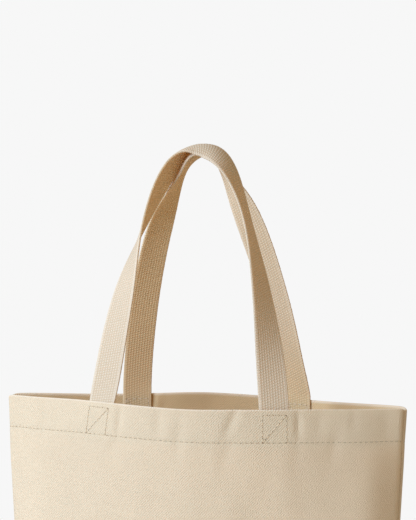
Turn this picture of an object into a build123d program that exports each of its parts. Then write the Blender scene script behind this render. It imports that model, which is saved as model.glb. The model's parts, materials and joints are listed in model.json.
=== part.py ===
# A canvas tote bag that stands open on a boxed base, with two webbing handles.
# Millimetres. The origin is the middle of the base, +Z is up, +X runs along the
# width of the bag and the front panel faces -Y.
import os
from math import asin, cos, degrees, pi, radians, sin, sqrt

from build123d import *

os.makedirs("parts", exist_ok=True)

# Cloth body
canvas_thickness = 1.0
base_length = 310.0
base_depth = 94.0
base_corner_radius = 25.0
rim_height = 400.0
mouth_width = 354.0
mouth_flank = 76.3
seam_angle = radians(28.6)

# Hem turned inward at the mouth, and the row of stitches that holds it
hem_depth = 30.0
hem_stitch_drop = 27.5

# Handles of woven webbing
strap_width = 25.4
strap_thickness = 2.0
foot_offset = 74.5
sewn_length = 30.0
front_rise = 216.0
back_rise = 212.0
crown_setback = 2.8
crown_tilt = 16.0

# Bend of each loop's left and right leg, and its sideways lean half way up and at the crown
front_spread = (0.94, 0.82)
back_spread = (1.13, 1.17)
front_lean = (1.0, -4.9)
back_lean = (-2.4, -0.8)

# Direction of the webbing's width at every tenth of the way over each loop, left to right,
# in degrees from straight back towards the right; at both feet it follows the wall
front_width_turns = (-76, -56, -7, 29, 31, 17, 0, 26, 63)
back_width_turns = (70, 59, 30, -9, -16, -31, -83, -79, -69)

# Seam allowances inside the bag
allowance_width = 10.0
base_allowance_width = 16.0

# Stitching
thread_width = 0.6
thread_height = 0.3
box_stitch_inset = 2.6
box_stitch_drop = 4.5

# Clearances
layer_gap = 0.2
seam_gap = 0.8
thread_gap = 0.05
crease_gap = 0.5
allowance_gap = 0.3

FRONT = -1
BACK = 1
LEFT = -1
RIGHT = 1

# Mouth shape: a straight flank beside each side seam, then one arc across the middle
arc_half_width = mouth_width / 2 - mouth_flank * cos(seam_angle)
arc_radius = arc_half_width / sin(seam_angle)
mouth_half_depth = mouth_flank * sin(seam_angle) + arc_radius * (1 - cos(seam_angle))

# Cloth measured along each line from a side seam to the middle of the panel
side_run = base_depth / 2 - base_corner_radius
corner_run = base_corner_radius * pi / 2
base_half_run = side_run + corner_run + base_length / 2 - base_corner_radius
rim_half_run = mouth_flank + arc_radius * seam_angle
stations = 30

# Depth of each layer below the outer face of the wall
hem_face = canvas_thickness + layer_gap
strap_face = hem_face + canvas_thickness + layer_gap

# Angle of the rim at a handle foot, and the height of the crease where a handle folds over
foot_angle = asin(foot_offset / arc_radius)
crease_height = rim_height + crease_gap


def rim_depth(x):
    """Distance of the outer rim line from the seam plane, within the arc."""
    return mouth_half_depth - arc_radius + sqrt(arc_radius**2 - x**2)


def base_point(run, inset):
    """Point of the front base line at a length from the left seam, moved inward."""
    corner_x = -base_length / 2 + base_corner_radius
    corner_y = -base_depth / 2 + base_corner_radius
    if run < side_run:
        return -base_length / 2 + inset, -run
    if run < side_run + corner_run:
        bend = (run - side_run) / base_corner_radius
        reach = base_corner_radius - inset
        return corner_x - reach * cos(bend), corner_y - reach * sin(bend)
    return corner_x + run - side_run - corner_run, -base_depth / 2 + inset


def rim_point(run, inset):
    """Point of the front rim line at a length from the left seam, moved inward."""
    if run < mouth_flank:
        x = -mouth_width / 2 + run * cos(seam_angle) + inset * sin(seam_angle)
        return x, -run * sin(seam_angle) + inset * cos(seam_angle)
    bend = seam_angle - (run - mouth_flank) / arc_radius
    reach = arc_radius - inset
    return -reach * sin(bend), arc_radius - mouth_half_depth - reach * cos(bend)


def draw_line(line_point, first, half_run, inset):
    """Both halves of a closed line round the bag, meeting at the two side seams."""
    left = []
    for count in range(stations + 1):
        left.append(line_point(first + (half_run - first) * count / stations, inset))
    right = [(-x, y) for x, y in reversed(left[:-1])]
    front_line = left + right
    Spline(front_line)
    Spline([(x, -y) for x, y in front_line])


def cloth_block(inset, mode, floor=0):
    """Everything inside one layer of the wall, from the floor to the rim."""
    with BuildSketch(Plane.XY.offset(floor)) as base_section:
        with BuildLine():
            draw_line(base_point, 0, base_half_run, inset)
        make_face()
    with BuildSketch(Plane.XY.offset(rim_height)) as rim_section:
        with BuildLine():
            draw_line(rim_point, inset * cos(seam_angle) / sin(seam_angle), rim_half_run, inset)
        make_face()
    loft([base_section.sketch.face(), rim_section.sketch.face()], ruled=True, mode=mode)


def keep_half(side):
    """Keep only the front or the back half, clear of the seam plane."""
    with BuildSketch() as half:
        with Locations((0, side * (mouth_width + seam_gap) / 2)):
            Rectangle(2 * mouth_width, mouth_width)
    extrude(half.sketch.face(), amount=rim_height, mode=Mode.INTERSECT)


def half_wall(outer, inner, side):
    """A cloth layer of one panel, between two depths below the outer face."""
    cloth_block(outer, Mode.ADD)
    cloth_block(inner, Mode.SUBTRACT)
    keep_half(side)


def keep_band(low, high):
    """Keep only the part between two heights."""
    with BuildSketch(Plane.XY.offset(low)) as slab:
        Rectangle(2 * mouth_width, 2 * mouth_width)
    extrude(slab.sketch.face(), amount=high - low, mode=Mode.INTERSECT)


def foot_plane(side, hand, height):
    """A plane on the outer face of the wall at a handle foot, looking outward."""
    along = Vector(cos(foot_angle), sin(foot_angle) * hand * -side, 0) * -side
    outward = Vector(sin(foot_angle) * hand, cos(foot_angle) * side, 0)
    origin = (hand * foot_offset, side * rim_depth(foot_offset), height)
    return Plane(origin=origin, x_dir=along, z_dir=outward)


for side, side_name in ((FRONT, "front"), (BACK, "back")):
    # Panel: its wall and half of the base in one piece of canvas
    with BuildPart() as panel:
        cloth_block(0, Mode.ADD)
        cloth_block(canvas_thickness, Mode.SUBTRACT, canvas_thickness)
        keep_half(side)
    panel.part.label = f"{side_name}_panel"
    export_step(panel.part, f"parts/{side_name}_panel.step")

    # Hem: the top of the panel turned inward
    with BuildPart() as hem:
        half_wall(hem_face, hem_face + canvas_thickness, side)
        keep_band(rim_height - hem_depth, rim_height)
    hem.part.label = f"{side_name}_hem"
    export_step(hem.part, f"parts/{side_name}_hem.step")

    # Row of stitches along the hem, seen on the outside
    with BuildPart() as hem_thread:
        half_wall(-thread_gap - thread_height, -thread_gap, side)
        row_height = rim_height - hem_stitch_drop
        keep_band(row_height - thread_width / 2, row_height + thread_width / 2)
    hem_thread.part.label = f"{side_name}_hem_thread"
    export_step(hem_thread.part, f"parts/{side_name}_hem_thread.step")

    for hand, hand_name in ((LEFT, "left"), (RIGHT, "right")):
        # Sewn end of a handle, flat against the inside of the hem
        with BuildPart() as handle_end:
            half_wall(strap_face, strap_face + strap_thickness, side)
            keep_band(rim_height - sewn_length, rim_height)
            with BuildSketch(foot_plane(side, hand, rim_height)):
                Rectangle(strap_width, 3 * sewn_length)
            extrude(amount=sewn_length, both=True, mode=Mode.INTERSECT)
        handle_end.part.label = f"{side_name}_{hand_name}_handle_end"
        export_step(handle_end.part, f"parts/{side_name}_{hand_name}_handle_end.step")

        # Box of stitches with one diagonal that holds the sewn end
        box_width = strap_width - 2 * box_stitch_inset
        box_height = hem_stitch_drop - box_stitch_drop
        box_middle = rim_height - (hem_stitch_drop + box_stitch_drop) / 2
        diagonal = sqrt(box_width**2 + box_height**2)
        lean = degrees(asin(box_height / diagonal))
        row_lift = thread_width
        with BuildPart() as box_thread:
            half_wall(-thread_gap - thread_height, -thread_gap, side)
            with BuildSketch(foot_plane(side, hand, box_middle + row_lift)):
                Rectangle(box_width, box_height - thread_width)
                Rectangle(
                    box_width - 2 * thread_width, box_height - 3 * thread_width, mode=Mode.SUBTRACT
                )
                Rectangle(diagonal - 3 * thread_width, thread_width, rotation=lean)
            extrude(amount=strap_width / 2, both=True, mode=Mode.INTERSECT)
        box_thread.part.label = f"{side_name}_{hand_name}_box_thread"
        export_step(box_thread.part, f"parts/{side_name}_{hand_name}_box_thread.step")

# Side seams: the allowance turned inside the bag, and the thread in the joint
corner_top = 3 * canvas_thickness
allowance_low = corner_top + allowance_gap
allowance_high = rim_height - hem_depth - allowance_gap
for hand, hand_name in ((LEFT, "left"), (RIGHT, "right")):
    with BuildPart() as allowance:
        for height in (allowance_low, allowance_high):
            share = height / rim_height
            tip = base_length / 2 + share * (mouth_width - base_length) / 2
            pinch = canvas_thickness * (1 / sin(seam_angle) + cos(seam_angle) / sin(seam_angle) - 1)
            start = tip - canvas_thickness - share * pinch - allowance_gap
            with BuildSketch(Plane.XY.offset(height)):
                with Locations((hand * (start - allowance_width / 2), 0)):
                    Rectangle(allowance_width, 2 * canvas_thickness)
        loft(ruled=True)
    allowance.part.label = f"{hand_name}_seam_allowance"
    export_step(allowance.part, f"parts/{hand_name}_seam_allowance.step")

    with BuildPart() as seam_thread:
        for height in (canvas_thickness, rim_height - canvas_thickness):
            share = height / rim_height
            tip = base_length / 2 + share * (mouth_width - base_length) / 2
            middle = tip - canvas_thickness / 2 - share * seam_gap / 2 * cos(seam_angle) / sin(seam_angle)
            with BuildSketch(Plane.XY.offset(height)):
                with Locations((hand * middle, 0)):
                    Rectangle(canvas_thickness - 2 * layer_gap, seam_gap - 2 * layer_gap)
        loft(ruled=True)
    seam_thread.part.label = f"{hand_name}_seam_thread"
    export_step(seam_thread.part, f"parts/{hand_name}_seam_thread.step")

    # Boxed corner: the short seam across the end of the base, pressed flat inside
    corner_span = base_depth - 2 * base_corner_radius
    corner_edge = base_length / 2 - canvas_thickness - allowance_gap
    with BuildPart() as corner_allowance:
        with BuildSketch(Plane.XY.offset(canvas_thickness)):
            with Locations((hand * (corner_edge - allowance_width / 2), 0)):
                Rectangle(allowance_width, corner_span)
        extrude(amount=2 * canvas_thickness)
    corner_allowance.part.label = f"{hand_name}_corner_allowance"
    export_step(corner_allowance.part, f"parts/{hand_name}_corner_allowance.step")

# Base seam: the allowance pressed open inside, and the thread in the joint
base_inside = base_length / 2 - canvas_thickness - allowance_width - 2 * allowance_gap
with BuildPart() as base_seam_allowance:
    with BuildSketch(Plane.XY.offset(canvas_thickness)):
        Rectangle(2 * base_inside, base_allowance_width)
    extrude(amount=canvas_thickness)
base_seam_allowance.part.label = "base_seam_allowance"
export_step(base_seam_allowance.part, "parts/base_seam_allowance.step")

with BuildPart() as base_seam_thread:
    with BuildSketch(Plane.XY.offset(layer_gap)):
        Rectangle(2 * base_inside, seam_gap - 2 * layer_gap)
    extrude(amount=canvas_thickness - 2 * layer_gap)
base_seam_thread.part.label = "base_seam_thread"
export_step(base_seam_thread.part, "parts/base_seam_thread.step")


def ease(value):
    """A smooth step from 0 to 1."""
    value = min(max(value, 0.0), 1.0)
    return value * value * (3 - 2 * value)


strap_middle = strap_face + strap_thickness / 2
foot_reach = foot_offset - strap_middle * sin(foot_angle)
foot_depth = rim_depth(foot_offset) - strap_middle * cos(foot_angle)


def arch_point(turn, rise, spread, lean, side):
    """Middle of a strap at a turn from 0 at the left foot to 180 at the right foot."""
    across = cos(radians(turn))
    lift = max(sin(radians(turn)), 0.0) ** 1.62
    left_bend, right_bend = spread
    bow = -abs(across) ** left_bend if across >= 0 else abs(across) ** right_bend
    half_way_lean, crown_lean = lean
    sideways = half_way_lean * 4 * lift * (1 - lift) + crown_lean * lift
    inward = (foot_depth - crown_setback) * lift**1.5
    return Vector(foot_reach * bow + sideways, side * (foot_depth - inward), crease_height + rise * lift)


def curve_through(values, place):
    """Height of a smooth curve through evenly spaced values, at a place from 0 to 1."""
    values = (2 * values[0] - values[1],) + values + (2 * values[-1] - values[-2],)
    spans = len(values) - 3
    span = min(int(place * spans), spans - 1)
    share = place * spans - span
    before, start, end, after = values[span : span + 4]
    slope = end - before
    bend = 2 * before - 5 * start + 4 * end - after
    ramp = 3 * (start - end) + after - before
    return start + share / 2 * (slope + share * (bend + share * ramp))


def strap_plane(turn, rise, spread, lean, width_turns, side):
    """Cross-section of a strap: x across the webbing, z along it."""
    middle = arch_point(turn, rise, spread, lean, side)
    after = arch_point(turn + 0.5, rise, spread, lean, side)
    before = arch_point(turn - 0.5, rise, spread, lean, side)
    heading = (after - before).normalized()
    if turn in (0, 180):
        heading = Vector(0, 0, 1 if turn == 0 else -1)
    foot_turn = side * degrees(pi / 2 - foot_angle)
    angle = radians(curve_through((foot_turn,) + width_turns + (-foot_turn,), turn / 180))
    width = Vector(sin(angle), cos(angle), 0)
    width = (width - heading * width.dot(heading)).normalized()
    face = heading.cross(width)
    share = (middle.Z - crease_height) / rise
    roll = radians(crown_tilt) * ease((share - 0.9) / 0.1)
    width = width * cos(roll) + face * sin(roll)
    return Plane(origin=middle, x_dir=width, z_dir=heading)


half_turns = (0, 8, 16, 24, 32, 40, 48, 56, 62, 68, 73, 78, 82, 86)
turns = half_turns + (90,) + tuple(180 - turn for turn in reversed(half_turns))

# Front handle: the free loop of webbing above the rim
with BuildPart() as front_handle:
    for turn in turns:
        section = strap_plane(turn, front_rise, front_spread, front_lean, front_width_turns, FRONT)
        with BuildSketch(section):
            Rectangle(strap_width, strap_thickness)
    loft()
front_handle.part.label = "front_handle"
export_step(front_handle.part, "parts/front_handle.step")

# Back handle: the same loop, a little lower so that it lies under the front one
with BuildPart() as back_handle:
    for turn in turns:
        section = strap_plane(turn, back_rise, back_spread, back_lean, back_width_turns, BACK)
        with BuildSketch(section):
            Rectangle(strap_width, strap_thickness)
    loft()
back_handle.part.label = "back_handle"
export_step(back_handle.part, "parts/back_handle.step")
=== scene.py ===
# %% [markdown]
# # A canvas tote bag
# The bag is two panels of undyed canvas, sewn into a shell that stands open on a boxed
# base, with two loops of webbing sewn inside its hem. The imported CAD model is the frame:
# every piece below is built in metres, in the place of the CAD piece that it stands for.

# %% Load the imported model
import json
from bisect import bisect
from math import asin, atan2, ceil, cos, degrees, exp, hypot, pi, radians, sin, sqrt, tan

import bmesh
import bpy
from mathutils import Matrix, Vector, noise
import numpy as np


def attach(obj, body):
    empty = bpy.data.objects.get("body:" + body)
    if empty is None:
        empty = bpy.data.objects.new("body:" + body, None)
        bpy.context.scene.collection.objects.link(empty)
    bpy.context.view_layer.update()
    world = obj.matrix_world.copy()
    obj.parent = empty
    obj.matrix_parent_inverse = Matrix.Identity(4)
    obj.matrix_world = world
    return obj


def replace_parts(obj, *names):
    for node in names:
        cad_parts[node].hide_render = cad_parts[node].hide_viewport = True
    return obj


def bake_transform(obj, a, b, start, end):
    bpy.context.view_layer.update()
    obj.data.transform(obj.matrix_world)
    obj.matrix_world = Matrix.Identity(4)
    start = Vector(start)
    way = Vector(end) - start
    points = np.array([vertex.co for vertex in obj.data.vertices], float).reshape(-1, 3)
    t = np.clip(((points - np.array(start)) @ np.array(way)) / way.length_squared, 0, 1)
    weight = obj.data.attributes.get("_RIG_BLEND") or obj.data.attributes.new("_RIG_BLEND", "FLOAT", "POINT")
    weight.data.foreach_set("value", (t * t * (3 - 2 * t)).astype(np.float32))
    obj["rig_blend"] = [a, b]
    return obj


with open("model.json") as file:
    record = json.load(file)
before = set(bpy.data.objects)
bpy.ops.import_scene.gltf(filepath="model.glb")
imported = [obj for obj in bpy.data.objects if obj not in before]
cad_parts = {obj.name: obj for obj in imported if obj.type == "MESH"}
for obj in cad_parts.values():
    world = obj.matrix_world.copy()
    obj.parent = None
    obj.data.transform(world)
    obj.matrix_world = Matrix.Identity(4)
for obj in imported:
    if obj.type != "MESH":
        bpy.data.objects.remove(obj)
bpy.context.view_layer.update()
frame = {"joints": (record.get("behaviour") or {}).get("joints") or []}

scene = bpy.context.scene
MM = 0.001
FRONT, BACK = -1, 1
LEFT, RIGHT = -1, 1
sides, hands = ((FRONT, "front"), (BACK, "back")), ((LEFT, "left"), (RIGHT, "right"))

# %% [markdown]
# ## Finishes
# Three finishes cover the whole bag: canvas, webbing and thread, all undyed cotton. A
# shader graph is easier to read when every node is added in the same way, so one small
# function adds a node, sets it up and links it. Colours are written as sRGB hex, as a
# colour picker gives them, and turned to the linear values that the renderer works in.

# %% Helpers for the shader graphs
def colour(hex_code):
    """Linear RGBA from an sRGB hex colour."""
    parts = [int(hex_code[i : i + 2], 16) / 255 for i in (1, 3, 5)]
    return [c / 12.92 if c <= 0.04045 else ((c + 0.055) / 1.055) ** 2.4 for c in parts] + [1.0]


def add_node(tree, kind, settings=None, inputs=None):
    """Add a node, set its properties, and set or link its input sockets."""
    made = tree.nodes.new(kind)
    for name, value in (settings or {}).items():
        setattr(made, name, value)
    for socket, value in (inputs or {}).items():
        if isinstance(value, bpy.types.NodeSocket):
            tree.links.new(value, made.inputs[socket])
        else:
            made.inputs[socket].default_value = value
    return made


def new_material(name, roughness, sheen):
    """A matt finish: the material, its node tree and its Principled shader."""
    material = bpy.data.materials.new(name)
    material.use_nodes = True
    shader = material.node_tree.nodes["Principled BSDF"]
    shader.inputs["Roughness"].default_value = roughness
    shader.inputs["Specular IOR Level"].default_value = 0.06
    shader.inputs["Sheen Weight"].default_value = sheen
    shader.inputs["Sheen Roughness"].default_value = 0.6
    print("finish:", name)
    return material, material.node_tree, shader


# %% Settings and helpers that the cotton finishes share
blend = {"data_type": "RGBA", "blend_type": "MIX"}
multiply = {"data_type": "RGBA", "blend_type": "MULTIPLY"}
soften = {"data_type": "RGBA", "blend_type": "SOFT_LIGHT"}
flat_noise = {"noise_dimensions": "2D"}
straight_bands = {"wave_type": "BANDS", "bands_direction": "X", "wave_profile": "SIN"}
slanted_bands = {**straight_bands, "bands_direction": "DIAGONAL"}
straight_wave, diagonal_wave = 20, 10 * sqrt(2)  # radians of a Wave texture in one unit
glow_share, glow_shade = 0.25, "#FFC878"
# a painted warm shade, multiplied into cloth that faces into the bag
painted_warm_shade = "#FDF2D8"


def band_scale(pitch, wave):
    """Scale of a Wave texture whose bands lie one pitch apart, in metres."""
    return 2 * pi / (wave * pitch)


def let_light_through(tree, shader):
    """Mix in the warm glow of light that comes through cotton from behind."""
    glow = add_node(tree, "ShaderNodeBsdfTranslucent", inputs={"Color": colour(glow_shade)})
    shares = {0: glow_share, 1: shader.outputs[0], 2: glow.outputs[0]}
    cloth = add_node(tree, "ShaderNodeMixShader", inputs=shares)
    tree.links.new(cloth.outputs[0], tree.nodes["Material Output"].inputs["Surface"])
    print(len(tree.nodes), "nodes")


print("glow", glow_share)

# %% [markdown]
# Canvas is a heavy cotton twill. The eye sees three things in it: the fine slanting ribs of
# the weave, small thick and thin places in the yarn, and a slow change of tone across the
# panel. The pattern reads the panel's own UV map, which holds the distances across and up
# the cloth in metres, so the ribs turn with the hem and round the corners. Where the canvas
# faces into the bag it gets a warm painted shade, and the fold at the rim gets a thin
# painted highlight.

# %% Cotton canvas: the weave
twill_pitch = 1.6 * MM  # real ribs are about 0.9 mm apart, too fine to show
yarn_size = 1.0 * MM  # real yarn is about 0.6 mm thick, too fine to show
tone_size = 60 * MM

canvas, tree, shader = new_material("cotton_canvas_twill", roughness=0.92, sheen=0.12)
cloth_uv = add_node(tree, "ShaderNodeUVMap", {"uv_map": "cloth"}).outputs["UV"]
mirrored = add_node(
    tree, "ShaderNodeMapping", inputs={"Vector": cloth_uv, "Scale": (-1.0, 1.0, 1.0)}
)
twill = add_node(
    tree, "ShaderNodeTexWave", slanted_bands,
    {
        "Vector": mirrored.outputs["Vector"], "Scale": band_scale(twill_pitch, diagonal_wave),
        "Distortion": 1.6, "Detail": 2.0, "Detail Scale": 1.5,
    },
)
yarn = add_node(
    tree, "ShaderNodeTexNoise", flat_noise,
    {"Vector": cloth_uv, "Scale": 1 / yarn_size, "Detail": 1.0, "Roughness": 0.5},
)
tone = add_node(
    tree, "ShaderNodeTexNoise", flat_noise,
    {"Vector": cloth_uv, "Scale": 1 / tone_size, "Detail": 2.0},
)
tone_range = {"From Min": 0.3, "From Max": 0.7, "To Min": 0.97, "To Max": 1.02}
slow_tone = add_node(
    tree, "ShaderNodeMapRange", inputs={"Value": tone.outputs["Fac"], **tone_range}
)
print(f"ribs {twill_pitch / MM:.1f} mm apart")

# %% Cotton canvas: masks for the painted inward shade and the painted rim highlight
flattened = (0.13, 1.0, 0.0)  # the bag is wide, so a place's depth says most
cloth_place = add_node(tree, "ShaderNodeTexCoord").outputs["Object"]
cloth_normal = add_node(tree, "ShaderNodeNewGeometry").outputs["Normal"]
from_middle = add_node(
    tree, "ShaderNodeVectorMath", {"operation": "MULTIPLY"}, {0: cloth_place, 1: flattened}
)
faces_out = add_node(
    tree, "ShaderNodeVectorMath", {"operation": "DOT_PRODUCT"},
    {0: from_middle.outputs["Vector"], 1: cloth_normal},
)
faces_in = add_node(
    tree, "ShaderNodeMapRange",
    inputs={"Value": faces_out.outputs["Value"], "From Min": 2 * MM, "From Max": -8 * MM},
)
# the fold rows carry a painted highlight, in the selvedge attribute
rim_highlight_share = add_node(tree, "ShaderNodeAttribute", {"attribute_name": "selvedge"})
print("inside and rim found")

# %% Cotton canvas: its colour, layer on layer
# how a layer mixes, its share and its colour; a Mix node takes its two colours at its
# sockets 6 and 7 and gives the mixed one at its output 2
tint = colour("#E3D1B3")
for mode, share, layer in (
    (blend, twill.outputs["Fac"], colour("#EEE0C8")),
    (soften, 0.25, yarn.outputs["Fac"]),
    (multiply, 1.0, slow_tone.outputs["Result"]),
    # painted warm shade where the canvas faces into the bag
    (multiply, faces_in.outputs["Result"], colour(painted_warm_shade)),
    # painted highlight along the fold at the rim
    (blend, rim_highlight_share.outputs["Fac"], colour("#FBF1E0")),
):
    tint = add_node(tree, "ShaderNodeMix", mode, {0: share, 6: tint, 7: layer}).outputs[2]
tree.links.new(tint, shader.inputs["Base Color"])
print("inside", painted_warm_shade)

# %% Cotton canvas: its surface
weave_height = add_node(
    tree, "ShaderNodeMath", {"operation": "MULTIPLY_ADD"},
    {0: yarn.outputs["Fac"], 1: 3.0, 2: twill.outputs["Fac"]},
)
weave_bump = add_node(
    tree, "ShaderNodeBump",
    inputs={"Height": weave_height.outputs["Value"], "Strength": 0.8, "Distance": 0.2 * MM},
)
tree.links.new(weave_bump.outputs["Normal"], shader.inputs["Normal"])
let_light_through(tree, shader)

# %% [markdown]
# Webbing is woven much more coarsely than canvas. The eye sees upright columns of small
# slanted ovals, each column set a little higher than the one before, and a pale fuzzy
# selvedge along both edges. Two wave textures give the ovals: one makes the columns, the
# other makes slanting bands that cut the columns up. Their product is the height of the
# yarn, which both tints the cloth and tilts its surface. The strap's mesh says where the
# selvedge and the inner face are, as two attributes; the inner face gets a painted warm shade.

# %% Cotton webbing: the weave
column_pitch, oval_pitch = 2.3 * MM, 2.2 * MM  # coarsened a little, to show
oval_step = 0.36  # rise from one column to the next, as a share of an oval
fuzz_size = 0.8 * MM
band_slope = atan2(1 / oval_pitch, oval_step / column_pitch)
band_pitch = oval_pitch * sin(band_slope)

webbing, tree, shader = new_material("cotton_webbing", roughness=0.9, sheen=0.15)
strap_uv = add_node(tree, "ShaderNodeUVMap", {"uv_map": "cloth"}).outputs["UV"]
columns = add_node(
    tree, "ShaderNodeTexWave", straight_bands,
    {
        "Vector": strap_uv, "Scale": band_scale(column_pitch, straight_wave),
        "Distortion": 0.5, "Detail Scale": 2.0,
    },
)
band_space = add_node(
    tree, "ShaderNodeMapping", inputs={"Vector": strap_uv, "Rotation": (0.0, 0.0, -band_slope)}
)
bands = add_node(
    tree, "ShaderNodeTexWave", straight_bands,
    {
        "Vector": band_space.outputs["Vector"], "Scale": band_scale(band_pitch, straight_wave),
        "Distortion": 0.8, "Detail Scale": 2.0,
    },
)
ovals = add_node(
    tree, "ShaderNodeMath", {"operation": "MULTIPLY"},
    {0: columns.outputs["Fac"], 1: bands.outputs["Fac"]},
)
fuzz = add_node(
    tree, "ShaderNodeTexNoise", flat_noise,
    {"Vector": strap_uv, "Scale": 1 / fuzz_size, "Detail": 3.0, "Roughness": 0.65},
)
print(f"bands {band_pitch / MM:.2f} mm apart")

# %% Cotton webbing: its colour and surface
edge_share = add_node(tree, "ShaderNodeAttribute", {"attribute_name": "selvedge"})
inner_share = add_node(tree, "ShaderNodeAttribute", {"attribute_name": "inner"})
tint = colour("#D6C6AC")
for mode, share, layer in (
    (blend, ovals.outputs["Value"], colour("#F1E7D6")),
    (blend, edge_share.outputs["Fac"], colour("#E8DCC8")),
    (soften, 0.3, fuzz.outputs["Fac"]),
    # painted warm shade on the strap's inner face
    (multiply, inner_share.outputs["Fac"], colour(painted_warm_shade)),
):
    tint = add_node(tree, "ShaderNodeMix", mode, {0: share, 6: tint, 7: layer}).outputs[2]
tree.links.new(tint, shader.inputs["Base Color"])
yarn_height = add_node(
    tree, "ShaderNodeMath", {"operation": "MULTIPLY_ADD"},
    {0: fuzz.outputs["Fac"], 1: 0.35, 2: ovals.outputs["Value"]},
)
yarn_bump = add_node(
    tree, "ShaderNodeBump",
    inputs={"Height": yarn_height.outputs["Value"], "Strength": 0.75, "Distance": 0.4 * MM},
)
tree.links.new(yarn_bump.outputs["Normal"], shader.inputs["Normal"])
let_light_through(tree, shader)

# %% [markdown]
# Thread is a hard-twisted cotton of nearly the cloth's own colour, so a row of stitches is
# seen mostly by the dark ends where each stitch goes down into its needle hole. That dark
# is painted shade: each stitch carries an attribute that is 0 in its middle and 1 at its
# ends, and the finish darkens with it.

# %% Cotton thread
twist_size = 0.6 * MM

thread, tree, shader = new_material("cotton_sewing_thread", roughness=0.95, sheen=0.0)
stitch_ends = add_node(tree, "ShaderNodeAttribute", {"attribute_name": "stitch_end"})
thread_place = add_node(tree, "ShaderNodeTexCoord").outputs["Object"]
twist = add_node(
    tree, "ShaderNodeTexNoise",
    inputs={"Vector": thread_place, "Scale": 1 / twist_size, "Detail": 2.0},
)
# painted shade of the needle holes, at the stitches' ends
needle_hole_shade = add_node(
    tree, "ShaderNodeMapRange", {"interpolation_type": "SMOOTHSTEP"},
    {"Value": stitch_ends.outputs["Fac"], "From Min": 0.5, "From Max": 0.88},
)
tint = colour("#E4D4B8")
for mode, share, layer in (
    # colour of the painted needle-hole shade
    (blend, needle_hole_shade.outputs["Result"], colour("#4A2E0C")),
    (soften, 0.3, twist.outputs["Fac"]),
):
    tint = add_node(tree, "ShaderNodeMix", mode, {0: share, 6: tint, 7: layer}).outputs[2]
tree.links.new(tint, shader.inputs["Base Color"])
let_light_through(tree, shader)

# %% [markdown]
# ## The shell's two outlines
# A lofted shell needs two outlines: the boxed base and the open mouth. Each is described
# once, as a quarter from a side seam to the middle of the front, and mirrored for the rest.
# A place round the bag is then a lap number: 0 at the left seam, 1 at the middle of the
# front, 2 at the right seam, 3 at the middle of the back. The mouth is one wide arc, a
# straight flank and a small round nose at each side seam, where the canvas can't fold flat.

# %% Sizes of the shell
canvas_thickness = 1.0 * MM
base_length, base_depth, base_corner = 310 * MM, 94 * MM, 25 * MM
rim_height, mouth_width, mouth_half_depth = 400 * MM, 354 * MM, 64.57 * MM
arc_radius, nose_radius = 229.8 * MM, 10 * MM
layer_gap = 0.2 * MM

nose_middle = mouth_width / 2 - nose_radius
arc_middle = arc_radius - mouth_half_depth
radius_step = arc_radius - nose_radius
middles_apart = hypot(nose_middle, arc_middle)
flank_angle = asin(radius_step / middles_apart) - atan2(arc_middle, nose_middle)
flank_run = sqrt(middles_apart**2 - radius_step**2)
nose_run = nose_radius * (pi / 2 - flank_angle)
rim_run = nose_run + flank_run + arc_radius * flank_angle

side_run = base_depth / 2 - base_corner
corner_run = base_corner * pi / 2
base_run = side_run + corner_run + base_length / 2 - base_corner
print(f"cloth from seam to middle: rim {rim_run / MM:.1f} mm, base {base_run / MM:.1f} mm")


# %% Points on the outlines
def rim_quarter(run):
    """Point of the mouth at a length from the left seam, on the front."""
    if run < nose_run:
        turn = run / nose_radius
        return -nose_middle - nose_radius * cos(turn), -nose_radius * sin(turn)
    run -= nose_run
    if run < flank_run:
        x = -nose_middle - nose_radius * sin(flank_angle) + run * cos(flank_angle)
        return x, -nose_radius * cos(flank_angle) - run * sin(flank_angle)
    bend = flank_angle - (run - flank_run) / arc_radius
    return -arc_radius * sin(bend), arc_middle - arc_radius * cos(bend)


def base_quarter(run):
    """Point of the base's edge at a length from the left seam, on the front."""
    corner_x, corner_y = base_corner - base_length / 2, base_corner - base_depth / 2
    if run < side_run:
        return -base_length / 2, -run
    if run < side_run + corner_run:
        bend = (run - side_run) / base_corner
        return corner_x - base_corner * cos(bend), corner_y - base_corner * sin(bend)
    return corner_x + run - side_run - corner_run, -base_depth / 2


def outline_point(quarter, quarter_run, lap):
    """Point of a whole outline at a lap number."""
    part = int(lap % 4)
    along = lap % 4 - part
    if part in (1, 3):
        along = 1 - along
    x, y = quarter(along * quarter_run)
    return Vector((-x if part in (1, 2) else x, -y if part in (2, 3) else y, 0))


def outline_pair(lap):
    """Base point, rim point, and the outward directions at both, for a lap number."""
    reach = 0.6 * MM  # a little to each side, to find the outline's direction
    places = []
    for quarter, quarter_run in ((base_quarter, base_run), (rim_quarter, rim_run)):
        step = reach / quarter_run
        along = outline_point(quarter, quarter_run, lap + step)
        along -= outline_point(quarter, quarter_run, lap - step)
        outward = Vector((along.y, -along.x, 0)).normalized()
        places.append((outline_point(quarter, quarter_run, lap), outward))
    return places


print("front of the mouth:", tuple(outline_point(rim_quarter, rim_run, 1)))

# %% [markdown]
# ## How the cloth hangs
# Canvas this heavy keeps most of its loft, so a full cloth simulation would change little.
# The shell is shaped in code instead: the rim rises a little at the front and sags at the
# back, the walls bow in softly, and shallow folds run down from the hem, where the stitches
# and the handle ends gather the cloth. Each fold is a smooth valley, or a ridge where its
# depth is negative, with a place along the panel and a slant. The front's folds are read
# from the picture. The back's are made up.

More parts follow.
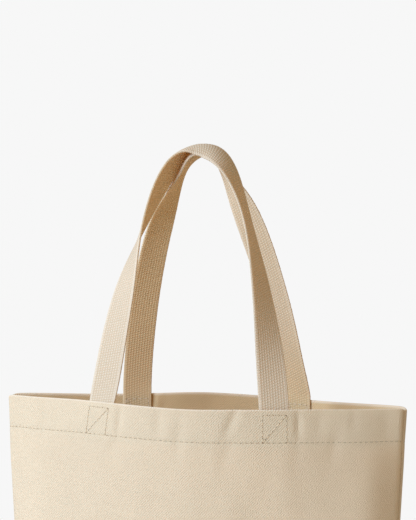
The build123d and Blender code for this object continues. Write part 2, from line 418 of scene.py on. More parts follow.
# %% The folds
# run from the panel's first seam, drop below the rim, half width, half length and depth in
# millimetres, then the slant; the first seam is the left one in front, the right one behind
front_folds = (
    (50, 20, 5.5, 17, 0.9, 0.02),
    (64, 16, 4.0, 11, 0.4, -0.1),
    (131, 17, 4.5, 17, 1.6, 0.26),
    (128, 40, 6.0, 14, 0.6, 0.1),
    (170, 13, 4.5, 12, 1.0, 0.05),
    (188, 24, 5.0, 18, 1.0, 0.05),
    (233, 10, 4.2, 13, 1.6, 0.42),
    (229, 36, 6.0, 14, 0.8, 0.3),
    (289, 13, 2.9, 12, 1.5, 0.0),
    (288, 40, 6.0, 13, 0.4, 0.15),
    (307, 11, 4.0, 9, 0.5, 0.1),
    (320, 30, 5.5, 14, 0.8, 0.2),
    (335, 14, 24.0, 17, -1.4, 0.0),
    (336, 10, 4.0, 10, 0.5, 0.05),
    (364, 12, 5.0, 13, 0.4, 0.0),
    (349, 78, 16.0, 62, -1.2, 0.0),
)
back_folds = (
    (32, 18, 6.0, 16, 0.9, 0.05),
    (78, 22, 5.0, 15, 0.8, -0.15),
    (133, 18, 4.0, 16, 1.3, 0.2),
    (215, 16, 26.0, 32, -5.0, 0.0),
    (252, 16, 4.0, 15, 1.3, -0.2),
    (300, 20, 5.5, 16, 0.8, 0.1),
    (345, 24, 6.0, 20, 0.9, 0.0),
)
print(f"{len(front_folds)} folds in front, {len(back_folds)} behind")

# %% The line of the rim
back_rim_sag, back_rim_dips = 1.9 * MM, 1.9 * MM
corner_drop, corner_round = 2.0 * MM, 6.5 * MM
# millimetres above the level rim, at nine even places from the left seam to the right one
front_rim_line = (0.0, 1.4, 3.1, 2.5, 1.2, 1.7, 1.5, 0.6, 0.0)


def ease(value):
    """A smooth step from 0 to 1."""
    value = min(max(value, 0.0), 1.0)
    return value * value * (3 - 2 * value)


def curve_through(values, place):
    """Height of a smooth curve through evenly spaced values, at a place from 0 to 1."""
    values = (2 * values[0] - values[1], *values, 2 * values[-1] - values[-2])
    spans = len(values) - 3
    span = min(int(place * spans), spans - 1)
    share = place * spans - span
    before, start, end, after = values[span : span + 4]
    bend = 2 * before - 5 * start + 4 * end - after
    ramp = 3 * (start - end) + after - before
    return start + share / 2 * (end - before + share * (bend + share * ramp))


def rim_lift(lap):
    """How far the rim stands above its level line."""
    lap %= 4
    half = lap % 2
    from_seam = min(lap, abs(lap - 2), 4 - lap) * rim_run / corner_round
    level = -corner_drop * exp(-from_seam * from_seam)
    if lap < 2:
        return level + curve_through(front_rim_line, lap / 2) * MM
    return level - back_rim_sag * sin(pi * half / 2) ** 2 - back_rim_dips * sin(pi * half) ** 2


print(f"rim: front {rim_lift(1) / MM:.1f} mm, back {rim_lift(3) / MM:.1f} mm")

# %% How far the wall stands out
foot_offset = 74.5 * MM
foot_lap = 1 - arc_radius * asin(foot_offset / arc_radius) / rim_run
foot_half, foot_fade = 11 * MM, 5 * MM  # a sewn handle end keeps the hem flat this far
stiff_drop, stiff_fade = 27 * MM, 8 * MM  # and this far down
slow_sway, quick_sway, wall_bow = 2.2 * MM, 0.7 * MM, 2.0 * MM
loose_fade = 60 * MM
left_swell, right_swell, swell_power = 1.2 * MM, -0.4 * MM, 8
stitch_drop = 27.5 * MM
dimple_depth, dimple_half = 0.35 * MM, 1.5 * MM


def from_nearest_foot(lap):
    """Length along the rim from the middle of the nearest handle end."""
    return min(abs(lap % 2 - foot_lap), abs(lap % 2 - 2 + foot_lap)) * rim_run


def drape(lap, height):
    """How far the wall stands out from the plain loft at a place."""
    lap %= 4
    folds = front_folds if lap < 2 else back_folds
    run, drop = (lap % 2) * rim_run, rim_height - height
    sway = 0.0
    for fold_run, fold_drop, half_width, half_length, depth, slant in folds:
        down = drop - fold_drop * MM
        aside = run - fold_run * MM + slant * down
        nearness = -((aside / MM / half_width) ** 2) - (down / MM / half_length) ** 2
        sway -= depth * MM * exp(nearness)
    in_hem = 1 - ease((drop - stiff_drop) / stiff_fade)
    sway *= 1 - in_hem * (1 - ease((from_nearest_foot(lap) - foot_half) / foot_fade))
    level = height / rim_height
    slow = noise.noise(Vector((lap * 3.1, level * 4.0, 2.5))) * slow_sway
    quick = noise.noise(Vector((lap * 11.0, level * 9.0, 7.5))) * quick_sway
    loose = ease(drop / loose_fade) * ease(height / loose_fade)
    bow = wall_bow * sin(pi * level) ** 2
    sway += loose * (slow + quick - bow) * sin(pi * (lap % 2) / 2) ** 2
    swell = right_swell if 1 < lap < 3 else left_swell
    sway += loose * swell * cos(pi * lap / 2) ** swell_power
    row = (drop - stitch_drop) / dimple_half
    return sway - dimple_depth * exp(-row * row)


print(f"handle feet at lap {foot_lap:.3f}")

# %% Place of a point in the wall
right_seam = 2 - 4.7 * MM / rim_run
end_turn, end_reach = 5.0 * MM, 36 * MM  # the wall turns back beside the right seam
end_top, end_fade, end_foot = 22 * MM, 30 * MM, 120 * MM


def wall_place(lap, height, depth):
    """Point a depth below the wall's outer face, and the outward direction there."""
    (base, base_out), (rim, rim_out) = outline_pair(lap)
    level = height / rim_height
    outward = base_out.lerp(rim_out, level).normalized()
    place = base.lerp(rim, level) + outward * (drape(lap, height) - depth)
    place.z = height + rim_lift(lap) * level**3
    by_seam = max(1 - abs(lap % 4 - right_seam) * rim_run / end_reach, 0.0)
    slack = ease((rim_height - height - end_top) / end_fade) * ease(height / end_foot)
    place.y += end_turn * slack * by_seam**2
    return place, outward


print("front of the dressed rim:", tuple(wall_place(1, rim_height, 0)[0]))

# %% [markdown]
# ## The canvas panels
# Each panel is one sheet: half of the base, the wall, the fold at the rim and the hem turned
# down inside. It starts as a flat grid, the shape the cloth was cut to, and every vertex is
# then moved to its place on the shell, so the grid's rows and columns stay the cloth's own
# lengthwise and crosswise threads. Rows and columns are closer together where the cloth
# turns sharply. At both side seams the sheet's edge rounds inward, which leaves the groove
# of a real seam. The right seam sits a little to the front, as it does in the picture.

# %% Columns of a panel
tuck_flap, tuck_radius, seam_half_gap = 2 * MM, 2.0 * MM, 0.6 * MM
tuck_arc = tuck_radius * pi / 2
near_seam = 6 * MM


def stops(*zones):
    """Places along a length, from zones of (length, number of steps) laid end to end."""
    places = [0.0]
    for length, count in zones:
        start = places[-1]
        places += [start + length * (step + 1) / count for step in range(count)]
    return places


def tucked_edge(distance):
    """Run from the seam line and depth inward, at a distance along the cloth from its edge."""
    if distance < tuck_flap:
        return seam_half_gap, tuck_radius + tuck_flap - distance
    if distance < tuck_flap + tuck_arc:
        turn = (tuck_flap + tuck_arc - distance) / tuck_radius
        return seam_half_gap + tuck_radius * (1 - sin(turn)), tuck_radius * (1 - cos(turn))
    return seam_half_gap + tuck_radius + distance - tuck_flap - tuck_arc, 0.0


def panel_columns(first_lap, last_lap):
    """(cloth distance, lap, tuck depth, distance from the edge) of each column of a panel."""
    edge, beside = (tuck_flap + tuck_arc, 6), (near_seam, 4)
    width = (last_lap - first_lap) * rim_run - 2 * (seam_half_gap + tuck_radius)
    places = stops(edge, beside, (width - 2 * near_seam, 176), beside, edge)
    columns = []
    for place in places:
        from_left = place < places[-1] / 2
        distance = place if from_left else places[-1] - place
        run, depth = tucked_edge(distance)
        lap = first_lap + run / rim_run if from_left else last_lap - run / rim_run
        columns.append((place, lap, depth, distance))
    return columns


print("columns in front:", len(panel_columns(0, right_seam)))

# %% Rows of a panel
hem_depth, brim_depth = 30 * MM, 42 * MM
base_bend = 6 * MM
sheet_middle = canvas_thickness / 2
fold_radius = (canvas_thickness + layer_gap) / 2


def panel_rows():
    """(cloth distance, zone, place in the zone) of each row, from the base to the hem's edge."""
    zones = (
        ("base", base_depth / 2 - base_bend, 8),
        ("bend", base_bend * pi / 2, 6),
        ("wall", rim_height - sheet_middle - base_bend - brim_depth, 84),
        ("brim", brim_depth - sheet_middle - fold_radius, 34),
        ("fold", pi * fold_radius, 6),
        ("hem", hem_depth - fold_radius, 18),
    )
    rows, start = [(0.0, "base", 0.0)], 0.0
    for zone, length, count in zones:
        for step in range(count):
            along = length * (step + 1) / count
            rows.append((start + along, zone, along))
        start += length
    return rows


print("rows:", len(panel_rows()))

# %% Place of one vertex of a panel
wall_low = sheet_middle + base_bend
brim_low = rim_height - brim_depth
fold_height = rim_height - sheet_middle - fold_radius
base_gather = 0.97  # the base seam is a little shorter than the base's edge
brim_press, brim_press_run = 0.45, 14 * MM  # the hem holds the seam's groove flatter
hem_edge_run = 1.4 * MM


def panel_point(column, row, side):
    """Where a grid vertex of a panel lies on the shell."""
    _, lap, tuck, from_edge = column
    _, zone, along = row
    if zone == "base":
        edge = wall_place(lap, wall_low, sheet_middle + base_bend)[0]
        middle = Vector((edge.x * base_gather, side * seam_half_gap, 0))
        place = middle.lerp(edge, along / (base_depth / 2 - base_bend))
        place.z = sheet_middle
        return place
    if zone == "bend":
        turn = along / base_bend
        inset = base_bend * (1 - sin(turn))
        place = wall_place(lap, wall_low, sheet_middle + inset + tuck * (turn / (pi / 2)))[0]
        place.z = sheet_middle + base_bend * (1 - cos(turn))
        return place
    if zone == "wall":
        return wall_place(lap, wall_low + along, sheet_middle + tuck)[0]
    if zone == "brim":
        pressed = 1 - brim_press * ease(along / brim_press_run)
        return wall_place(lap, brim_low + along, sheet_middle + tuck * pressed)[0]
    if zone == "fold":
        turn = along / fold_radius
        tucked = (1 - brim_press) * tuck * (1 - turn / pi)
        inset = sheet_middle + fold_radius * (1 - cos(turn)) + tucked
        return wall_place(lap, fold_height + fold_radius * sin(turn), inset)[0]
    if from_edge < tuck_flap + tuck_arc:
        share = from_edge / (tuck_flap + tuck_arc)
        run = hem_edge_run + share * (seam_half_gap + tuck_radius - hem_edge_run)
        seam_run = tucked_edge(from_edge)[0]
        lap += (run - seam_run) / rim_run * (1 if lap % 2 < 1 else -1)
    return wall_place(lap, fold_height - along, sheet_middle + 2 * fold_radius)[0]


# %% Helpers that make a piece of cloth
def finish_piece(name, bm, material):
    """A smooth-shaded object with its finish."""
    mesh = bpy.data.meshes.new(name)
    bm.to_mesh(mesh)
    bm.free()
    mesh.materials.append(material)
    mesh.shade_smooth()
    piece = bpy.data.objects.new(name, mesh)
    scene.collection.objects.link(piece)
    print(f"{name}: {len(mesh.vertices)} vertices, {len(mesh.polygons)} faces")
    return piece


def thicken(piece, thickness):
    """Give a sheet its thickness, half to each side."""
    body = piece.modifiers.new("cloth thickness", "SOLIDIFY")
    body.thickness, body.offset = thickness, 0.0


def cloth_grid(columns, rows):
    """A bmesh grid with its cloth UV map, and each vertex's column and row number."""
    bm = bmesh.new()
    uv = bm.loops.layers.uv.new("cloth")
    bm.verts.layers.float.new("selvedge")
    bm.verts.layers.float.new("inner")
    bmesh.ops.create_grid(bm, x_segments=columns - 1, y_segments=rows - 1, size=1)
    spots = {}
    for vertex in bm.verts:
        column = round((vertex.co.x + 1) / 2 * (columns - 1))
        spots[vertex] = column, round((vertex.co.y + 1) / 2 * (rows - 1))
    return bm, uv, spots


def lay_flat(bm, uv, flat_uv):
    """Write each vertex's place on the flat cloth to the UV map."""
    for face in bm.faces:
        for loop in face.loops:
            loop[uv].uv = flat_uv[loop.vert]


# %% Make the two panels
# strength of the painted highlight along the fold at the rim
rim_highlight = 0.6


def make_panel(name, first_lap, last_lap, side):
    """One canvas panel, and the width and height of the flat sheet."""
    columns, rows = panel_columns(first_lap, last_lap), panel_rows()
    bm, uv, spots = cloth_grid(len(columns), len(rows))
    edge_layer = bm.verts.layers.float["selvedge"]
    flat_uv = {}
    for vertex, (column, row) in spots.items():
        vertex.co = panel_point(columns[column], rows[row], side)
        # fold rows get the painted rim highlight, stored in the selvedge attribute
        vertex[edge_layer] = rim_highlight if rows[row][1] == "fold" else 0.0
        flat_uv[vertex] = columns[column][0], rows[row][0]
    lay_flat(bm, uv, flat_uv)
    piece = finish_piece(name, bm, canvas)
    thicken(piece, canvas_thickness)
    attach(piece, "bag")
    return piece, (columns[-1][0], rows[-1][0])


front_canvas, front_flat = make_panel("front_canvas", 0, right_seam, FRONT)
back_canvas, back_flat = make_panel("back_canvas", right_seam, 4, BACK)
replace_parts(front_canvas, "front_panel", "front_hem")
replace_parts(back_canvas, "back_panel", "back_hem")
print("cut sizes", [round(size, 3) for size in front_flat + back_flat])

# %% [markdown]
# ## The handles
# A handle is one length of webbing: a sewn end inside the hem, the free loop and the other
# sewn end. Its line is an arch, and its flat section turns from the line of the wall at each
# foot to front-to-back at the top, a different way on each leg. The strap is modelled
# directly, as a grid wrapped round the section and swept along the line, because a strap
# keeps its width and thickness and a simulation would only blur them. Over the top both
# straps curl to an arc across their width, one inside the other, as carried webbing does.

# %% Sizes of the handles
strap_width, strap_thickness = 25.4 * MM, 2.0 * MM
sewn_length = 30 * MM
crease_height = rim_height + 0.5 * MM
strap_middle = 2 * canvas_thickness + 2 * layer_gap + strap_thickness / 2
foot_angle = asin(foot_offset / arc_radius)
foot_reach = foot_offset - strap_middle * sin(foot_angle)
foot_depth = arc_radius * cos(foot_angle) - arc_middle - strap_middle * cos(foot_angle)

# rise of the loop; bend of the left and right leg; sideways lean half way up and at the
# crown; turn of the width, in degrees, at even places; how far each foot stands aside
handles = {
    FRONT: {
        "rise": 216 * MM,
        "spread": (0.93, 0.85),
        "lean": (1.1 * MM, -3.9 * MM),
        "width_turns": (-76, -58, -4, 29, 30, 8, 0, 26, 59),
        "drift": {LEFT: -3.2 * MM, RIGHT: 0.0},
    },
    BACK: {
        "rise": 212 * MM,
        "spread": (1.17, 1.08),
        "lean": (-2.8 * MM, -2.9 * MM),
        "width_turns": (67, 60, 42, -11, 3, -38, -84, -81, -65),
        "drift": {LEFT: 0.0, RIGHT: 0.0},
    },
}
print(f"feet {2 * foot_reach / MM:.1f} mm apart")

# %% Line of a handle's loop
lift_power, inward_power = 1.62, 1.5
drift_length = 18 * MM
crown_setback = 2.8 * MM


def arch_point(turn, side):
    """Middle of a strap at a turn from 0 at the left foot to pi at the right foot."""
    handle = handles[side]
    across = cos(turn)
    lift = max(sin(turn), 0.0) ** lift_power
    left_bend, right_bend = handle["spread"]
    bow = -abs(across) ** left_bend if across >= 0 else abs(across) ** right_bend
    half_way_lean, crown_lean = handle["lean"]
    height = handle["rise"] * lift
    drift = handle["drift"][LEFT if turn < pi / 2 else RIGHT] * exp(-height / drift_length)
    sideways = half_way_lean * 4 * lift * (1 - lift) + crown_lean * lift + drift
    inward = (foot_depth - crown_setback) * lift**inward_power
    depth = side * (foot_depth - inward)
    return Vector((foot_reach * bow + sideways, depth, crease_height + height))


print("front crown at", tuple(arch_point(pi / 2, FRONT)))

# %% Sections of a handle
turn_step, upright_turn = 0.004, 0.01
crown_tilt, tilt_place, tilt_reach = radians(11), 99, 15  # place and reach in degrees
crown_lift, lift_reach = 3.0 * MM, 17
crown_curl, curl_reach = 18 * MM, {LEFT: 28, RIGHT: 14}


def loop_section(turn, side):
    """Middle, width and outer face directions, and curl, of a handle's loop."""
    middle = arch_point(turn, side)
    heading = arch_point(turn + turn_step, side) - arch_point(turn - turn_step, side)
    heading.normalize()
    if turn < upright_turn or turn > pi - upright_turn:
        heading = Vector((0, 0, 1 if turn < 1 else -1))
    foot_turn = side * degrees(pi / 2 - foot_angle)
    width_turns = (foot_turn, *handles[side]["width_turns"], -foot_turn)
    angle = radians(curve_through(width_turns, turn / pi))
    width = Vector((sin(angle), cos(angle), 0))
    width = (width - heading * width.dot(heading)).normalized()
    face = heading.cross(width)
    roll = crown_tilt * exp(-(((degrees(turn) - tilt_place) / tilt_reach) ** 2))
    width, face = width * cos(roll) + face * sin(roll), face * cos(roll) - width * sin(roll)
    off_crown = degrees(turn) - 90
    curl = exp(-((off_crown / curl_reach[LEFT if off_crown < 0 else RIGHT]) ** 2))
    middle += face * crown_lift * exp(-((off_crown / lift_reach) ** 2))
    return middle, width, face, curl / crown_curl


def end_lap(side, hand):
    """Lap number at the middle of a sewn handle end."""
    return 2 + side - side * hand * (1 - foot_lap)


def end_lean(side, hand, drop):
    """How far a slanting handle end stands aside at a drop below the rim."""
    drift = handles[side]["drift"][hand]
    return drift - drop * tan(drift / -drift_length)


def sewn_section(height, side, hand):
    """Middle, width and outer face directions, and no curl, of a handle's sewn end."""
    lean = end_lean(side, hand, rim_height - height)
    lap = end_lap(side, hand) - side * lean / rim_run
    place, outward = wall_place(lap, height, strap_middle)
    place.z = height
    width = Vector((-outward.y, outward.x, 0)) * hand
    return place, width, outward, 0.0


# %% Rows of sections along a handle
row_step = 0.85 * MM
sewn_rows = ceil(sewn_length / row_step)
arch_steps = 1440


def handle_sections(side):
    """Sections along the whole strap, evenly spaced along the loop."""
    low = rim_height - sewn_length
    heights = [low + sewn_length * row / sewn_rows for row in range(sewn_rows + 1)]
    sections = [sewn_section(height, side, LEFT) for height in heights]
    turns = [pi * step / arch_steps for step in range(arch_steps + 1)]
    points = [arch_point(turn, side) for turn in turns]
    lengths = [0.0]
    for before, after in zip(points, points[1:]):
        lengths.append(lengths[-1] + (after - before).length)
    loop_rows = ceil(lengths[-1] / row_step)
    for row in range(loop_rows + 1):
        wanted = lengths[-1] * row / loop_rows
        found = min(max(bisect(lengths, wanted) - 1, 0), arch_steps - 1)
        part = (wanted - lengths[found]) / (lengths[found + 1] - lengths[found])
        sections.append(loop_section(turns[found] + part * (turns[1] - turns[0]), side))
    sections += [sewn_section(height, side, RIGHT) for height in reversed(heights)]
    return sections


print("rows in a sewn end:", sewn_rows + 1)

# %% The strap's round section
face_steps, edge_steps = 24, 6
around = 2 * (face_steps + edge_steps)
least_curl = 0.01


def strap_outline(step):
    """Place across the strap, height from its middle, and edge share, at a step round it."""
    half, round_off = strap_width / 2, strap_thickness / 2
    flat = 2 * (half - round_off)
    part, step = divmod(step, face_steps + edge_steps)
    sign = 1 if part % 2 == 0 else -1
    if step <= face_steps:
        return sign * (-flat / 2 + flat * step / face_steps), sign * round_off, 0.0
    turn = pi * (step - face_steps) / edge_steps
    return sign * (flat / 2 + round_off * sin(turn)), sign * round_off * cos(turn), sin(turn)


def curled(across, up, curl, ridge):
    """A place on the strap's section after it curls to an arc about a ridge."""
    if curl < least_curl:
        return across, up
    turn = (across - ridge) * curl
    return ridge + (1 / curl + up) * sin(turn), (1 / curl + up) * cos(turn) - 1 / curl


print("steps round a strap:", around)

# %% Make the two straps
cup_rows = 14  # the foot follows the wall's curve and flattens within so many rows
selvedge_width, selvedge_fuzz = 2.4 * MM, 0.25 * MM


def inner_shade_share(share):
    """How much painted warm shade the inner face gets, at a share of the length from the left end."""
    # the right leg's inner face looks at the light, so it gets less painted shade
    in_light = ease((share - 0.48) / 0.1) * ease((0.97 - share) / 0.2)
    return 1 - 0.65 * in_light


def make_strap(name, side):
    """One handle, as a grid wrapped round its sections."""
    sections = handle_sections(side)
    bm, uv, spots = cloth_grid(around + 1, len(sections))
    edge_layer, inner_layer = bm.verts.layers.float["selvedge"], bm.verts.layers.float["inner"]
    last_row = len(sections) - 1
    flat_uv = {}
    for vertex, (step, row) in spots.items():
        middle, width, face, curl = sections[row]
        across, up, edge = strap_outline(step % around)
        from_foot = max(min(row, last_row - row) - sewn_rows, 0)
        cup = -max(1 - from_foot / cup_rows, 0.0) * across * across / (2 * arc_radius)
        aside, above = curled(across, up, curl, -side * crown_setback)
        vertex.co = middle + width * aside + face * (above + cup)
        outward = width * (edge if across > 0 else -edge) + face * (up / strap_thickness)
        uneven = noise.noise(Vector((row * 0.9, 40.0 if across > 0 else 80.0, up / MM)))
        vertex.co += outward * edge * uneven * selvedge_fuzz
        # share of the painted warm shade: inner face only, less where it faces the light
        vertex[inner_layer] = (0.5 - up / strap_thickness) * inner_shade_share(row / last_row)
        in_selvedge = (abs(across) - strap_width / 2 + selvedge_width) / selvedge_width
        vertex[edge_layer] = ease(in_selvedge + 0.3)
        flat_uv[vertex] = -across if up < 0 else across, row * row_step
    lay_flat(bm, uv, flat_uv)
    bmesh.ops.remove_doubles(bm, verts=bm.verts, dist=0.01 * MM)
    bmesh.ops.holes_fill(bm, edges=[edge for edge in bm.edges if edge.is_boundary])
    bmesh.ops.recalc_face_normals(bm, faces=bm.faces)
    piece = finish_piece(name, bm, webbing)
    print(f"{name}: {len(sections) * row_step:.3f} m of webbing")
    return piece


bend_height = crease_height + 12 * MM
hinges = {joint["child"]: joint for joint in frame["joints"]}
for side, word in sides:
    strap = make_strap(f"{word}_strap", side)
    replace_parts(strap, f"{word}_handle", f"{word}_left_handle_end", f"{word}_right_handle_end")
    hinge_y = hinges[f"{word}_handle"]["pos_m"][1]
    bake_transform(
        strap, "bag", f"{word}_handle",
        start=(0, hinge_y, crease_height), end=(0, hinge_y, bend_height),
    )

# %% [markdown]
# ## The stitching
# A machine stitch shows on both faces as a row of short dashes. One dash is a small
# stretched sphere with only a few faces, set down along its row with its ends sunk into the
# cloth. The rows follow the same wall function as the panels, so they sit in the dimple that
# the thread pulls into the canvas, whatever the folds do.

# %% One stitch, and a row of stitches
stitch_pitch = 4.6 * MM
stitch_half = Vector((2.15, 0.5, 0.25)) * MM
stitch_proud = 0.05 * MM
lay_down = Matrix.Rotation(pi / 2, 4, "Y")  # a new sphere's poles point up


def new_stitching():
    """An empty bmesh with the layer that marks the stitches' ends."""
    bm = bmesh.new()
    return bm, bm.verts.layers.float.new("stitch_end")


def add_stitch(bm, layer, middle, along, outward):
    """One dash of thread, as a stretched sphere."""
    beside = outward.cross(along).normalized()
    axes = Matrix((along * stitch_half.x, beside * stitch_half.y, outward * stitch_half.z))
    place = Matrix.Translation(middle) @ axes.transposed().to_4x4() @ lay_down
    made = bmesh.ops.create_uvsphere(bm, u_segments=6, v_segments=5, radius=1, matrix=place)
    for vertex in made["verts"]:
        vertex[layer] = abs((vertex.co - middle).dot(along)) / stitch_half.x


def inside_depth(lap):
    """Depth of the inner face below the wall's outer face, on a handle end or beside it."""
    if from_nearest_foot(lap) < strap_width / 2:
        return strap_middle + strap_thickness / 2
    return 2 * canvas_thickness + layer_gap


def stitch_line(bm, layer, start, end):
    """A straight row between two (lap, height) places, on the outside and the inside."""
    lap_step, rise = end[0] - start[0], end[1] - start[1]
    count = max(round(hypot(lap_step * rim_run, rise) / stitch_pitch), 1)
    reach = 0.25 / count
    for face in (1, -1):
        for number in range(count):
            share = (number + 0.5) / count
            lap, height = start[0] + lap_step * share, start[1] + rise * share
            depth = -stitch_proud if face == 1 else inside_depth(lap)
            middle, outward = wall_place(lap, height, depth)
            ahead = wall_place(lap + lap_step * reach, height + rise * reach, depth)[0]
            add_stitch(bm, layer, middle, (ahead - middle).normalized(), outward * face)


print(f"stitches {stitch_pitch / MM:.1f} mm apart")

# %% Hem rows and handle boxes
box_inset, box_top = 2.6 * MM, 4.5 * MM
box_half = strap_width / 2 - box_inset
hem_row = rim_height - stitch_drop
row_end = 2.4 * MM / rim_run
seam_laps = {FRONT: (0, right_seam), BACK: (right_seam, 4)}


def box_corners(side, hand):
    """The four corners of a box of stitches, as (lap, height)."""
    corners = []
    for across, drop in ((-1, stitch_drop), (1, stitch_drop), (1, box_top), (-1, box_top)):
        aside = -side * end_lean(side, hand, drop) + across * box_half
        corners.append((end_lap(side, hand) + aside / rim_run, rim_height - drop))
    return corners


for side, word in sides:
    bm, layer = new_stitching()
    first, last = seam_laps[side]
    stitch_line(bm, layer, (first + row_end, hem_row), (last - row_end, hem_row))
    row = finish_piece(f"{word}_hem_stitches", bm, thread)
    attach(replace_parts(row, f"{word}_hem_thread"), "bag")
    for hand, hand_word in hands:
        bm, layer = new_stitching()
        corners = box_corners(side, hand)
        for start, end in zip(corners, corners[1:] + corners[:1]):
            stitch_line(bm, layer, start, end)
        stitch_line(bm, layer, corners[0], corners[2])
        box = finish_piece(f"{word}_{hand_word}_box_stitches", bm, thread)
        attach(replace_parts(box, f"{word}_{hand_word}_box_thread"), "bag")

# %% [markdown]
# ## Inside the seams
# The cloth beyond each seam is turned into the bag. A side seam's two allowances stand
# together as a narrow double blade; the base seam's are pressed open, and the boxed corners'
# are pressed down on the base. Each is a strip of canvas, a grid given thickness, and those
# at the sides and corners are bent over once along their length. The rows of thread that
# close the seams lie in the joints.

# %% A folded strip
allowance_width = 10 * MM
ply = canvas_thickness
fold_run = pi * ply / 2


def folded_strip(name, node, place, length, count):
    """Two plies of canvas joined along one fold; place(along, across, up) gives a point."""
    width = allowance_width
    across_stops = stops((width, 6), (fold_run, 4), (width, 6))
    bm, uv, spots = cloth_grid(len(across_stops), count + 1)
    flat_uv = {}
    for vertex, (step, row) in spots.items():
        run, along = across_stops[step], length * row / count
        turn = min(max(run - width, 0.0), fold_run) / (ply / 2)
        across = run if run < width else width - (run - width - fold_run)
        across = min(across, width) + ply / 2 * sin(turn)
        vertex.co = place(along, across, -ply / 2 * cos(turn))
        flat_uv[vertex] = run, along
    lay_flat(bm, uv, flat_uv)
    bmesh.ops.recalc_face_normals(bm, faces=bm.faces)
    piece = finish_piece(name, bm, canvas)
    thicken(piece, 0.9 * canvas_thickness)
    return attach(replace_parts(piece, node), "bag")


# %% Allowances of the side seams and corners
blade_foot, blade_inset = 6 * MM, 4.4 * MM
blade_length = rim_height - hem_depth - 8 * MM
blade_sway, blade_wave = 0.8 * MM, 40 * MM
corner_length, corner_inset, corner_height = 44 * MM, 2 * MM, 1.15 * MM

for hand, word in hands:
    seam_lap = 0 if hand == LEFT else right_seam

    def blade(along, across, up):
        """A point of a side seam's allowance, standing inward from the seam."""
        place, outward = wall_place(seam_lap, blade_foot + along, 0)
        beside = Vector((-outward.y, outward.x, 0))
        sway = blade_sway * sin(along / blade_wave) * across / allowance_width
        inward = outward * (blade_inset + allowance_width - across)
        return place - inward + beside * (up * 0.9 + sway)

    folded_strip(f"{word}_seam_fold", f"{word}_seam_allowance", blade, blade_length, 90)

    def corner(along, across, up):
        """A point of a boxed corner's allowance, lying on the base."""
        x = base_length / 2 - base_bend - corner_inset - allowance_width + across
        height = canvas_thickness + corner_height + up
        return Vector((hand * x, along - corner_length / 2, height))

    folded_strip(f"{word}_corner_fold", f"{word}_corner_allowance", corner, corner_length, 22)

# %% Allowance of the base seam
base_allowance, base_inside = 16 * MM, 143 * MM
base_steps, base_rows = 8, 72
base_height, base_ripple = 1.7 * MM, 0.25 * MM

bm, uv, spots = cloth_grid(base_steps + 1, base_rows + 1)
flat_uv = {}
for vertex, (step, row) in spots.items():
    across = (step / base_steps - 0.5) * base_allowance
    ripple = base_ripple * sin(row * 0.9) * (abs(across) / base_allowance)
    vertex.co = (base_inside * (2 * row / base_rows - 1), -across, base_height + ripple)
    flat_uv[vertex] = step * 2 * MM, row * 4 * MM
lay_flat(bm, uv, flat_uv)
bmesh.ops.recalc_face_normals(bm, faces=bm.faces)
base_fold = finish_piece("base_seam_fold", bm, canvas)
thicken(base_fold, canvas_thickness)
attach(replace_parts(base_fold, "base_seam_allowance"), "bag")

# %% Threads in the joints
seam_thread_low, seam_thread_high = 14 * MM, rim_height - 4 * MM
seam_thread_depth, base_thread_height = 1.3 * MM, 0.6 * MM

for hand, word in hands:
    bm, layer = new_stitching()
    seam_lap = 0 if hand == LEFT else right_seam
    height = seam_thread_low
    while height < seam_thread_high:
        middle, outward = wall_place(seam_lap, height, seam_thread_depth)
        add_stitch(bm, layer, middle, Vector((0, 0, 1)), outward)
        height += stitch_pitch
    row = finish_piece(f"{word}_seam_stitches", bm, thread)
    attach(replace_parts(row, f"{word}_seam_thread"), "bag")

bm, layer = new_stitching()
for number in range(int(2 * base_inside / stitch_pitch)):
    middle = Vector((number * stitch_pitch - base_inside, 0, base_thread_height))
    add_stitch(bm, layer, middle, Vector((1, 0, 0)), Vector((0, 0, -1)))
row = finish_piece("base_seam_stitches", bm, thread)
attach(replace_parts(row, "base_seam_thread"), "bag")

# %% [markdown]
# ## Floor, light and camera
# The picture has a plain white ground, a large soft light from the front left and a warm,
# fairly strong fill. The floor is a pale round sheet of paper. The world is white where the
# camera looks straight at it, and gives the dimmer warm fill to everything else. The camera
# stands a little to the right and just above the handles, with a long lens.

# %% Floor
floor_radius = 1.25

bm = bmesh.new()
bmesh.ops.create_circle(bm, cap_ends=True, segments=96, radius=floor_radius)
mesh = bpy.data.meshes.new("floor")
bm.to_mesh(mesh)
bm.free()
floor = bpy.data.objects.new("floor", mesh)
scene.collection.objects.link(floor)
paper, tree, shader = new_material("pale_paper", roughness=0.9, sheen=0.0)
shader.inputs["Base Color"].default_value = colour("#F1F0EE")
mesh.materials.append(paper)

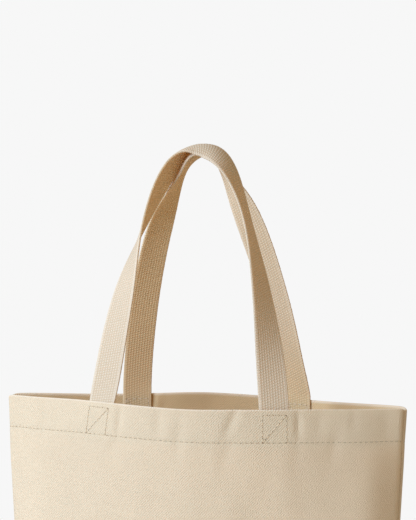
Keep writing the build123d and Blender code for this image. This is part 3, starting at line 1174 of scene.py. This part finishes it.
# %% Fill light and ground
fill = {"Color": (1.0, 0.817, 0.518, 1.0), "Strength": 0.442}
white = {"Color": (1.0, 1.0, 1.0, 1.0), "Strength": 0.93}

world = bpy.data.worlds.new("studio")
scene.world = world
world.use_nodes = True
tree = world.node_tree
tree.nodes.clear()
unseen, ground = [add_node(tree, "ShaderNodeBackground", inputs=sky) for sky in (fill, white)]
seen = add_node(tree, "ShaderNodeLightPath").outputs["Is Camera Ray"]
skies = {0: seen, 1: unseen.outputs[0], 2: ground.outputs[0]}
both = add_node(tree, "ShaderNodeMixShader", inputs=skies)
add_node(tree, "ShaderNodeOutputWorld", inputs={"Surface": both.outputs[0]})
print("fill strength", fill["Strength"])

# %% Key light and top light
light_aim = Vector((0, 0, 0.42))


def soft_light(name, place, size, power, tint):
    """A square area light that looks at the bag."""
    lamp = bpy.data.lights.new(name, "AREA")
    lamp.shape, lamp.size, lamp.energy, lamp.color = "SQUARE", size, power, tint
    lit = bpy.data.objects.new(name, lamp)
    scene.collection.objects.link(lit)
    lit.location = place
    lit.rotation_euler = (light_aim - Vector(place)).to_track_quat("-Z", "Y").to_euler()
    print(f"{name} light: {power} W, {size} m wide")


soft_light("key", (-1.45, -2.0, 1.4), 1.3, 87, (0.644, 0.802, 1.0))
soft_light("top", (-1.5, 0.1, 2.2), 1.2, 14, (0.68, 0.84, 1.0))
scene.view_settings.view_transform = "Standard"

# %% Camera
camera_turn, camera_tip = radians(14.3), radians(3.87)
camera_distance, camera_aside, camera_above_rim = 1.713, 0.0042, 0.2373
picture_height, focal_pixels, sensor = 520, 2000, 36.0

camera = bpy.data.objects.new("camera", bpy.data.cameras.new("camera"))
scene.collection.objects.link(camera)
camera.location = (
    cos(camera_turn) * camera_aside + sin(camera_turn) * camera_distance,
    sin(camera_turn) * camera_aside - cos(camera_turn) * camera_distance,
    rim_height + camera_above_rim,
)
camera.rotation_euler = (pi / 2 - camera_tip, 0, camera_turn)
camera.data.sensor_width = sensor
camera.data.lens = focal_pixels * sensor / picture_height
scene.camera = camera
print(f"lens {camera.data.lens:.1f} mm")
